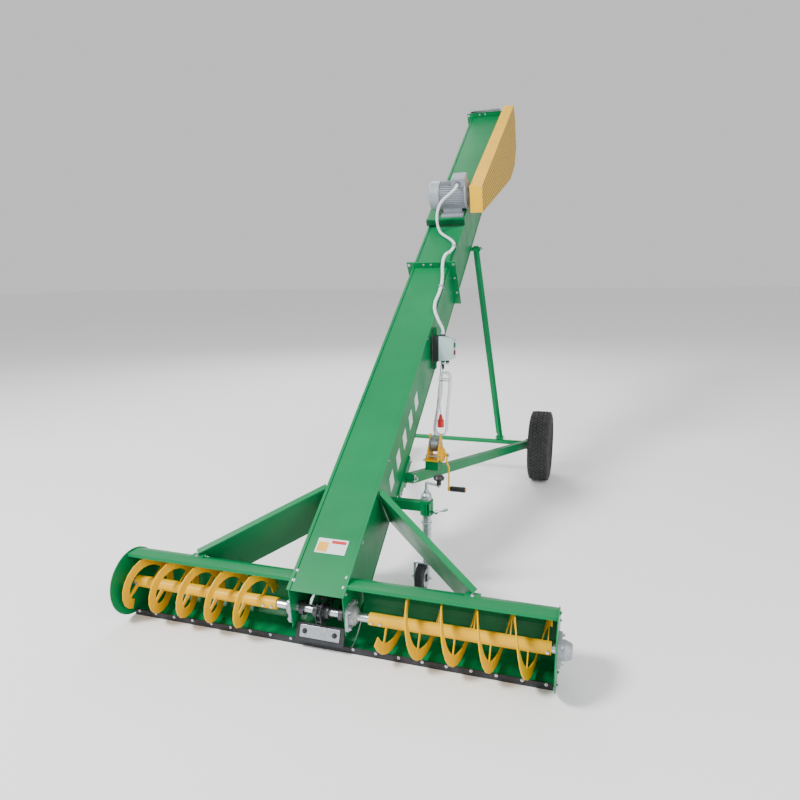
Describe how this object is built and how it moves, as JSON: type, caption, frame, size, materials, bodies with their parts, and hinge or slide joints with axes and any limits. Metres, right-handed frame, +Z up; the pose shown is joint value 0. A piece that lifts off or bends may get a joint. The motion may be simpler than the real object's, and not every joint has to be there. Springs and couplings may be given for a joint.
{
  "type": "grain chain loader",
  "caption": "Sloping drag-chain grain loader with a wide trough intake fed by two side screws, belt drive, winch-raised wheeled undercarriage and screw jack.",
  "frame": {"origin": "on the ground under the middle of the whole machine's bounding box", "axes": "+X along the intake trough towards the belt drive's side, +Y from the intake towards the discharge head, +Z up"},
  "size_m": [2.259, 4.5746, 3.3179],
  "materials": {
    "green_paint": "satin enamel over folded sheet",
    "yellow_paint": "gloss enamel",
    "galvanised": "zinc plated",
    "dark_steel": "mill finish",
    "black_rubber": "matt",
    "tyre_rubber": "dusty",
    "motor_paint": "grey machine enamel",
    "starter_plastic": "moulded",
    "white_plastic": "extruded sheath",
    "black_plastic": "moulded",
    "red_plastic": "moulded",
    "green_plastic": "moulded",
    "rope_steel": "stranded zinc plated wire",
    "silver_paint": "silver wheel paint"
  },
  "bodies": {
    "frame": {"lower_casing": "green_paint", "lower_cover": "green_paint", "upper_casing": "green_paint", "upper_cover": "green_paint", "left_trough": "green_paint", "right_trough": "green_paint", "left_brace": "green_paint", "right_brace": "green_paint", "motor_plate": "green_paint", "starter_bracket": "green_paint", "jack_bracket": "green_paint", "guard_frame": "yellow_paint", "guard_mesh": "yellow_paint", "head_cap": "galvanised", "left_outer_bearing": "galvanised", "right_outer_bearing": "galvanised", "left_inner_bearing": "galvanised", "right_inner_bearing": "galvanised", "left_head_bearing": "galvanised", "right_head_bearing": "galvanised", "jack_tube": "galvanised", "drag_chain": "dark_steel", "intake_flight": "black_rubber", "rubber_skirt": "black_rubber", "drive_belt": "black_rubber", "motor_body": "motor_paint", "terminal_box": "motor_paint", "starter_box": "starter_plastic", "starter_base": "black_plastic", "power_plug": "red_plastic", "conduit": "white_plastic", "power_cable": "white_plastic", "power_cable_hank": "white_plastic"},
    "intake_screws": {"tail_shaft": "dark_steel", "tail_sprocket": "dark_steel", "left_screw": "yellow_paint", "right_screw": "yellow_paint"},
    "head_drive": {"head_shaft": "dark_steel", "head_pulley": "dark_steel"},
    "motor_rotor": {"motor_pulley": "dark_steel"},
    "start_push": {"start_button": "green_plastic"},
    "stop_push": {"stop_button": "red_plastic"},
    "undercarriage": {"left_arm": "green_paint", "right_arm": "green_paint", "cross_tube": "green_paint", "winch_frame": "yellow_paint"},
    "left_wheel": {"left_tyre": "tyre_rubber", "left_rim": "silver_paint"},
    "right_wheel": {"right_tyre": "tyre_rubber", "right_rim": "silver_paint"},
    "struts": {"left_strut": "green_paint", "right_strut": "green_paint"},
    "slider": {"crosshead": "green_paint", "winch_rope": "rope_steel"},
    "drum": {"winch_drum": "galvanised"},
    "crank": {"winch_crank": "yellow_paint"},
    "jack_slide": {"jack_leg": "galvanised"},
    "jack_roller": {"jack_wheel": "black_rubber"},
    "jack_screw": {"jack_crank": "galvanised"},
    "lever": {"clamp_lever": "galvanised"}
  },
  "joints": [
    {"name": "intake_turn", "type": "hinge", "parent": "frame", "child": "intake_screws", "pos_m": [0, -2.1153, 0.178], "axis": [1, 0, 0], "continuous": true},
    {"name": "head_turn", "type": "hinge", "parent": "frame", "child": "head_drive", "pos_m": [0.25, 1.9088, 2.95404], "axis": [1, 0, 0], "continuous": true},
    {"name": "motor_turn", "type": "hinge", "parent": "frame", "child": "motor_rotor", "pos_m": [0.25, 0.38437, 2.31092], "axis": [1, 0, 0], "continuous": true},
    {"name": "undercarriage_fold", "type": "hinge", "parent": "frame", "child": "undercarriage", "pos_m": [0, -1.23372, 0.55323], "axis": [-1, 0, 0], "range_deg": [-13, 6]},
    {"name": "left_wheel_spin", "type": "hinge", "parent": "undercarriage", "child": "left_wheel", "pos_m": [-0.762, 0.6017, 0.2885], "axis": [1, 0, 0], "continuous": true},
    {"name": "right_wheel_spin", "type": "hinge", "parent": "undercarriage", "child": "right_wheel", "pos_m": [0.762, 0.6017, 0.2885], "axis": [1, 0, 0], "continuous": true},
    {"name": "strut_swing", "type": "hinge", "parent": "undercarriage", "child": "struts", "pos_m": [0, 0.5967, 0.334], "axis": [1, 0, 0], "range_deg": [-32, 15]},
    {"name": "crosshead_tilt", "type": "hinge", "parent": "struts", "child": "slider", "pos_m": [0, 0.7687, 1.911], "axis": [-1, 0, 0], "range_deg": [-18, 9], "deforming": ["winch_rope"]},
    {"name": "winch_crank_turn", "type": "hinge", "parent": "undercarriage", "child": "crank", "pos_m": [0.329, -0.9983, 0.637], "axis": [1, 0, 0], "continuous": true},
    {"name": "winch_drum_turn", "type": "hinge", "parent": "undercarriage", "child": "drum", "pos_m": [0.262, -0.9983, 0.7], "axis": [1, 0, 0], "continuous": true},
    {"name": "jack_extend", "type": "slide", "parent": "frame", "child": "jack_slide", "axis": [0, 0, -1], "range_m": [-0.055, 0]},
    {"name": "jack_crank_turn", "type": "hinge", "parent": "frame", "child": "jack_screw", "pos_m": [0.338, -1.4953, 0.59], "axis": [0, 0, 1], "range_deg": [-2500, 30]},
    {"name": "jack_wheel_spin", "type": "hinge", "parent": "jack_slide", "child": "jack_roller", "pos_m": [0.308, -1.4953, 0.08], "axis": [1, 0, 0], "continuous": true},
    {"name": "clamp_lever_turn", "type": "hinge", "parent": "frame", "child": "lever", "pos_m": [0.398, -1.5253, 0.48], "axis": [1, 0, 0], "range_deg": [-60, 60]},
    {"name": "start_press", "type": "slide", "parent": "frame", "child": "start_push", "axis": [-1, 0, 0], "range_m": [0, 0.004], "stiffness_N_per_m": 800, "springref_m": -0.002},
    {"name": "stop_press", "type": "slide", "parent": "frame", "child": "stop_push", "axis": [-1, 0, 0], "range_m": [0, 0.004], "stiffness_N_per_m": 800, "springref_m": -0.002}
  ],
  "couplings": [
    {"joint": "head_turn", "follows": "intake_turn", "ratio": 1},
    {"joint": "motor_turn", "follows": "intake_turn", "ratio": 4},
    {"joint": "strut_swing", "follows": "undercarriage_fold", "ratio": 2.3},
    {"joint": "crosshead_tilt", "follows": "undercarriage_fold", "ratio": 1.3},
    {"joint": "winch_drum_turn", "follows": "winch_crank_turn", "ratio": -0.25},
    {"joint": "jack_crank_turn", "follows": "jack_extend", "rad_per_m": 785.4}
  ]
}
